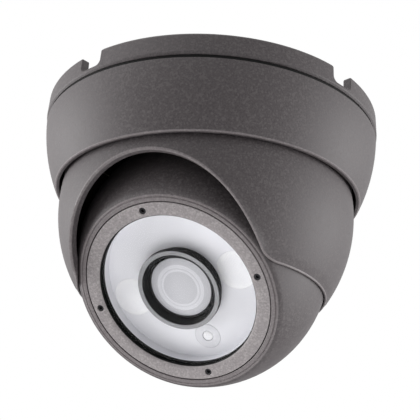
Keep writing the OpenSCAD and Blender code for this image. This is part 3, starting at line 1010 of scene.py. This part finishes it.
@dataclass
class Eyeball:
    """The housing with its bezel, window, lens and lamps. Heights run out along the face's axis."""

    centre: float = -50.9
    dip_deg: float = AIM_DEG
    roll_deg: float = 7.3
    ball_r: float = 40.5
    wall: float = 2.6
    face: float = 23.4
    rear: float = -34.2
    shelf: float = 20.9
    pocket_r: float = 30.5
    lip_r: float = 32.4
    lip_slope: float = 0.62
    groove_r: float = 31.9
    groove_w: float = 0.6
    groove_deep: float = 0.4
    stud_hole_r: float = 5.05
    tube_r: float = 30.0
    tube_in_r: float = 24.5
    tube_top: float = 17.64
    tube_low: float = 13.6
    seat_r: float = 26.5
    tray_floor: float = 15.6
    tray_r: float = 26.4
    bezel_r: float = 30.2
    bezel_open_r: float = 25.5
    bezel_flat_r: float = 27.4
    glass_front: float = 22.3
    glass_back: float = 21.5
    screw_circle_r: float = 27.95
    screw_clock_deg: float = -3.0
    screw_hole_r: float = 0.85
    screw_head_r: float = 1.1
    screw_rim_r: float = 1.35
    lens_r: float = 10.0
    lens_low: float = 16.4
    lens_top: float = 19.9
    # bands of the front glass painted lighter: painted reflections of the deeper elements' rims
    painted_glint_bands: tuple[tuple[float, float], ...] = ((5.6, 6.35), (6.6, 7.8))
    ring_r: float = 13.45
    ring_top_in_r: float = 12.0
    ring_throat_r: float = 11.2
    ring_low: float = 16.8
    cap_r: float = 6.4
    eye_r: float = 1.6
    sleeve_r: float = 4.2
    lamp_x: float = 19.0
    sensor_y: float = -18.8

    @property
    def frame_of(self) -> Matrix:
        """Where the face's own frame lies."""
        return (
            Matrix.Translation((0, 0, self.centre * MM))
            @ Matrix.Rotation(math.radians(90 + self.dip_deg), 4, "X")
            @ Matrix.Rotation(math.radians(self.roll_deg), 4, "Z")
        )

    def housing(self) -> None:
        """Turns the ball with its lip, pocket and rear flat."""
        top = self.face
        edge_r = self.lip_r
        while edge_r**2 + (top - (edge_r - self.lip_r) * self.lip_slope) ** 2 < self.ball_r**2:
            edge_r += 0.01
        edge_h = top - (edge_r - self.lip_r) * self.lip_slope
        hollow_r = self.ball_r - self.wall
        profile = [(self.pocket_r, self.shelf, 0), (self.pocket_r, top, 0.2)]
        inner, outer = self.groove_r - self.groove_w / 2, self.groove_r + self.groove_w / 2
        profile += [(inner, top, 0.12), (self.groove_r, top - self.groove_deep, 0.08)]
        profile += [(outer, top - 0.1, 0.12), (self.lip_r + 0.3, top - 0.25, 0.4)]
        profile += [(edge_r, edge_h, 0.7)]
        profile += arc(self.ball_r, 0, edge_h - 1.4, self.rear, 44)
        profile[-1] = (*profile[-1][:2], 0.5)
        rear_in = self.rear + self.wall
        profile += [(self.stud_hole_r, self.rear, 0.15), (self.stud_hole_r, rear_in, 0)]
        profile += arc(hollow_r, 0, rear_in, self.tube_top, 30)
        profile += [(self.tube_r, self.tube_top, 0), (self.tube_r, self.tube_low, 0)]
        profile += [(self.tube_in_r, self.tube_low, 0), (self.tube_in_r, self.tray_floor, 0)]
        profile += [(self.seat_r, self.tray_floor, 0), (self.seat_r, self.shelf, 0)]
        # The flat lip ring round the pocket wears the painted lip highlight.
        Piece(
            "ball_housing", "eyeball", POWDER_COAT, second=PAINTED_LIP_HIGHLIGHT,
            where=lambda _, r, h: h > edge_h and self.pocket_r < r < self.lip_r + 0.2,
        ).place(turned(profile, 200), self.frame_of)

    def screw_places(self) -> list[Matrix]:
        """Where the four bezel screws stand."""
        turns = [90 * i + self.screw_clock_deg for i in range(4)]
        return [
            Matrix.Rotation(math.radians(t), 4, "Z")
            @ Matrix.Translation((self.screw_circle_r * MM, 0, 0))
            for t in turns
        ]

    def bezel(self) -> None:
        """Turns the bezel ring, sinks its screw holes and paints shade in black on its inner edge.
        """
        top = self.face - 0.05
        glass = self.glass_front
        flat_r = self.bezel_flat_r
        edge = [
            (
                flat_r - (flat_r - self.bezel_open_r) * math.sin(math.pi / 2 * i / 8),
                top - (top - glass) * (1 - math.cos(math.pi / 2 * i / 8)),
                0.0,
            )
            for i in range(9)
        ]
        profile = [(self.seat_r, self.shelf, 0), (self.bezel_r, self.shelf, 0)]
        profile += [(self.bezel_r, top, 0.2), *edge, (self.seat_r, glass, 0)]
        low, head, high = 20, top - 1.3, 25  # the cutter's ends stand clear of the ring
        hole = [(0, low, 0), (self.screw_hole_r, low, 0), (self.screw_hole_r, head, 0)]
        hole += [(self.screw_head_r, head, 0), (self.screw_head_r, top - 0.15, 0)]
        hole += [(self.screw_rim_r, top + 0.1, 0), (self.screw_rim_r, high, 0), (0, high, 0)]
        places = self.screw_places()
        cutter = joined([turned(hole, 24) for _ in places], places)
        # The inner part of the bezel's inner round and the face beneath it wear the black rubber
        # finish: painted shade, where the bezel's own coat lies in shadow.
        Piece(
            "bezel_ring", "eyeball", BEZEL_COAT, second=RUBBER_AND_PAINTED_SHADE,
            where=lambda _, r, h: h < top - 0.4 and r < self.bezel_open_r + 0.6,
        ).place(turned(profile, 200), self.frame_of, cutter)

    def window(self) -> None:
        """Turns the window pane."""
        low, top = self.glass_back, self.glass_front
        profile = [(0, low, 0), (self.tray_r, low, 0.1), (self.tray_r, top, 0.1), (0, top, 0)]
        Piece("window_glass", "eyeball", WINDOW).place(turned(profile, 160), self.frame_of)

    def on_painted_glint_band(self, face: BMFace, r: float, _: float) -> bool:
        """Tells whether a face of the front glass lies in a band painted lighter as a deeper
        element's rim glint.
        """
        return face.normal.z > 0.5 and any(low < r < high for low, high in self.painted_glint_bands)

    def lens(self) -> None:
        """Turns the lens ring, the lens head and the front glass."""
        top = self.glass_back - 0.05
        throat, neck, flange = self.ring_throat_r, self.ring_r - 0.9, top - 2.1
        ring = [(throat, self.ring_low, 0), (neck, self.ring_low, 0), (neck, flange, 0)]
        ring += [(self.ring_r, flange, 0.1), (self.ring_r, top, 0.15)]
        ring += [(self.ring_top_in_r, top, 0.12), (throat, top - 0.75, 0.3)]
        ring += [(throat - 0.4, top - 1.6, 0.1), (throat - 0.4, top - 2.7, 0)]
        ring += [(throat, top - 3.1, 0)]
        Piece(
            "lens_ring", "eyeball", SATIN_CHROME, second=BLACK_LACQUER,
            where=lambda face, *_: face.normal.z <= 0.9,
        ).place(turned(ring, 128), self.frame_of)
        low, rise = self.lens_low, 0.9
        bulge = (self.lens_r**2 + rise**2) / (2 * rise)
        radii = sorted((9.6, 9, 8.4, 7.2, 4.4, 3, 1.5, *sum(self.painted_glint_bands, ())), reverse=True)
        front = [(0, low, 0), (self.lens_r, low, 0.1), (self.lens_r, self.lens_top - rise, 0.1)]
        front += [(r, self.lens_top - bulge + across(bulge, r), 0) for r in radii]
        front += [(0, self.lens_top, 0)]
        # The front glass is painted light grey as a reflection of the studio, with lighter bands
        # painted as the deeper rims' glints.
        Piece(
            "front_lens", "eyeball", LENS_PAINTED_REFLECTION, second=LENS_PAINTED_RIM_GLINT, where=self.on_painted_glint_band
        ).place(turned(front, 96), self.frame_of)
        head = [(self.lens_r, low, 0), (self.lens_r, 19.3, 0.1), (10.5, 19.3, 0.15)]
        head += [(10.5, 14.4, 0.1), (7.4, 14.4, 0), (7.4, 4.0, 0.1), (6, 4.0, 0), (6, -3.5, 0.1)]
        head += [(4, -3.5, 0), (4, 9.5, 0), (5.4, 9.5, 0), (5.4, low, 0)]
        Piece("lens_barrel", "eyeball", BLACK_ANODISED).place(turned(head, 96), self.frame_of)

    def lamps(self) -> None:
        """Turns the two lamp caps, and the light sensor in its sleeve."""
        r, low = self.cap_r, self.tray_floor
        cap = [(0, low + 0.9, 0), (4.4, low + 0.9, 0), (4.4, low, 0), (r, low, 0.1)]
        cap += dome(r, 0.6, low + 1.8, 16)
        sides = [Matrix.Translation((s * self.lamp_x * MM, 0, 0)) for s in (-1, 1)]
        mesh = joined([turned(cap, 72), turned(cap, 72)], sides)
        Piece("lamp_caps", "eyeball", LAMP_CAP).place(mesh, self.frame_of)
        place = self.frame_of @ Matrix.Translation((0, self.sensor_y * MM, 0))
        eye = [(0, low, 0), (self.eye_r, low, 0.05), *dome(self.eye_r, 0.4, low + 1.5, 8)]
        Piece("light_sensor", "eyeball", LAMP_CAP).place(turned(eye, 48), place)
        hole, rim, top = self.eye_r + 0.1, self.sleeve_r, low + 1.3
        sleeve = [(hole, low, 0), (rim, low, 0.1), (rim, top, 0.15), (hole, top, 0.3)]
        Piece("light_sensor_sleeve", "eyeball", FROSTED).place(turned(sleeve, 64), place)

    def build(self) -> None:
        """Builds and dresses the shell, the window, the lens and the lamps."""
        self.housing()
        self.bezel()
        self.window()
        self.lens()
        self.lamps()
        dress(BLACK_STEEL, "bezel_screws")
        dress(RUBBER_AND_PAINTED_SHADE, "window_seal")
        dress(REFLECTOR, "reflector_tray")
        # The rear lens wears the same painted studio reflection.
        dress(LENS_PAINTED_REFLECTION, "rear_lens")
        dress(BLACK_ANODISED, "lens_lock_ring")
        dress(BLACK_PLASTIC, "lens_holder")
        dress(FILTER_GLASS, "infrared_filter")


@dataclass
class Electronics:
    """The boards inside the eyeball with what is soldered to them."""

    def build(self) -> None:
        """Dresses the boards and their parts."""
        dress(SILICON, "image_sensor")
        dress(GREEN_BOARD, "sensor_board", "main_board")
        dress(WHITE_BOARD, "lamp_board")
        dress(PHOSPHOR, "lamp_chips")
        dress(BRASS, "front_posts", "rear_posts")
        dress(STEEL, "board_screws")
        dress(CHIP_RESIN, "processor_chips")
        dress(CAN, "board_capacitors")
        dress(NYLON, "board_sockets")
        dress(PAPER, "desiccant_pack")


@dataclass
class Swivel:
    """The hollow stud that the eyeball rolls on, with its nut, seal and gland."""

    def build(self) -> None:
        """Dresses the swivel's pieces."""
        dress(STEEL, "swivel_stud", "swivel_nut")
        dress(RUBBER_AND_PAINTED_SHADE, "stud_seal")
        dress(BLACK_PLASTIC, "cable_gland")


# ---- studio


@dataclass
class Studio:
    """A pale floor, a white surround and soft lamps. Sizes are in metres."""

    floor_height: float = -0.75
    floor_size: float = 6.0
    ambient: float = 0.48

    def floor(self) -> None:
        """Lays the floor."""
        mesh = bmesh.new()
        bmesh.ops.create_grid(mesh, x_segments=2, y_segments=2, size=self.floor_size / 2)
        mesh.transform(Matrix.Translation((0, 0, self.floor_height)))
        floor = as_object("studio_floor", mesh)
        paper = Finish(
            "matt_studio_paper", "", "#f2f2f2", "#f7f7f7", Pattern.CLOUDY, 40.0, 0.5,
            0.0, 0.9, 0.02, 5.0,
        )
        floor.data.materials.append(paper.material())

    def surround(self) -> None:
        """Makes the world white where it is seen or mirrored, and softer as light."""
        world = bpy.data.worlds.new("studio_surround")
        bpy.context.scene.world = world
        world.use_nodes = True
        tree = world.node_tree
        tree.nodes.clear()
        path = add(tree, "LightPath")
        seen = add(
            tree, "Math", {"operation": "MAXIMUM"},
            {0: path.outputs["Is Camera Ray"], 1: path.outputs["Is Transmission Ray"]},
        )
        seen = add(
            tree, "Math", {"operation": "MAXIMUM"},
            {0: seen.outputs[0], 1: path.outputs["Is Glossy Ray"]},
        )
        strength = add(
            tree, "MapRange", {"To Min": self.ambient, "To Max": 1.0}, {"Value": seen.outputs[0]}
        )
        sky = add(
            tree, "Background", {"Color": (1, 1, 1, 1)}, {"Strength": strength.outputs[0]}
        )
        output = add(tree, "OutputWorld")
        tree.links.new(sky.outputs[0], output.inputs["Surface"])

    def lamp(
        self, name: str, place: Sequence[float], aim: Sequence[float], size: float, power: float
    ) -> None:
        """Adds one square softbox.

        Args:
            name: the lamp's name.
            place: where it stands.
            aim: the point that it faces.
            size: its side.
            power: its power in watts.
        """
        data = bpy.data.lights.new(name, "AREA")
        data.shape = "SQUARE"
        data.size = size
        data.energy = power
        lamp = bpy.data.objects.new(name, data)
        lamp.location = place
        way = Vector(aim) - Vector(place)
        lamp.rotation_mode = "QUATERNION"
        lamp.rotation_quaternion = way.to_track_quat("-Z", "Y")
        bpy.context.scene.collection.objects.link(lamp)

    def build(self) -> None:
        """Sets the stage and its lamps."""
        self.floor()
        self.surround()
        middle = (0, 0, -0.045)
        self.lamp("softbox_left", (-0.66, -0.24, -0.06), middle, 0.5, 5.8)
        self.lamp("softbox_right", (0.62, 0.34, -0.06), middle, 0.5, 5.4)
        self.lamp("softbox_below", (0.0, -0.05, -0.29), middle, 0.3, 0.3)
        self.lamp("softbox_above", (-0.3, -0.4, 0.6), middle, 0.6, 2.1)


@dataclass
class ViewPoint:
    """The camera, below the object and to its right. Sizes are in metres and degrees."""

    place: tuple[float, float, float] = (0.16464, -0.30387, -0.1850)
    yaw_deg: float = -28.263
    pitch_deg: float = 23.73
    roll_deg: float = 3.616
    lens_mm: float = 98.54

    def build(self) -> None:
        """Makes the camera and gives it to the scene."""
        yaw, pitch, roll = map(math.radians, (self.yaw_deg, self.pitch_deg, self.roll_deg))
        ahead = Vector(
            (math.sin(yaw) * math.cos(pitch), math.cos(yaw) * math.cos(pitch), math.sin(pitch))
        )
        right = Vector((math.cos(yaw), -math.sin(yaw), 0))
        up = right.cross(ahead)
        side = right * math.cos(roll) + up * math.sin(roll)
        top = up * math.cos(roll) - right * math.sin(roll)
        data = bpy.data.cameras.new("view_point")
        data.lens = self.lens_mm
        data.sensor_width = 36.0
        data.clip_start = 0.01
        camera = bpy.data.objects.new("view_point", data)
        camera.matrix_world = Matrix.Translation(self.place) @ Matrix(
            (side, top, -ahead)
        ).transposed().to_4x4()
        bpy.context.scene.collection.objects.link(camera)
        bpy.context.scene.camera = camera
        bpy.context.scene.view_settings.view_transform = "Standard"


def write_sizes() -> None:
    """Brings the scene's transforms up to date."""
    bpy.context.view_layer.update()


def main() -> None:
    """Builds the stage and the object in order."""
    logging.basicConfig(level=logging.INFO, format="%(name)s: %(message)s")
    ViewPoint().build()
    Studio().build()
    for assembly in (Base(), Hood(), Yoke(), Eyeball(), Electronics(), Swivel()):
        assembly.build()
        LOG.info("%s done", type(assembly).__name__)
    write_sizes()


if __name__ == "__main__":
    main()
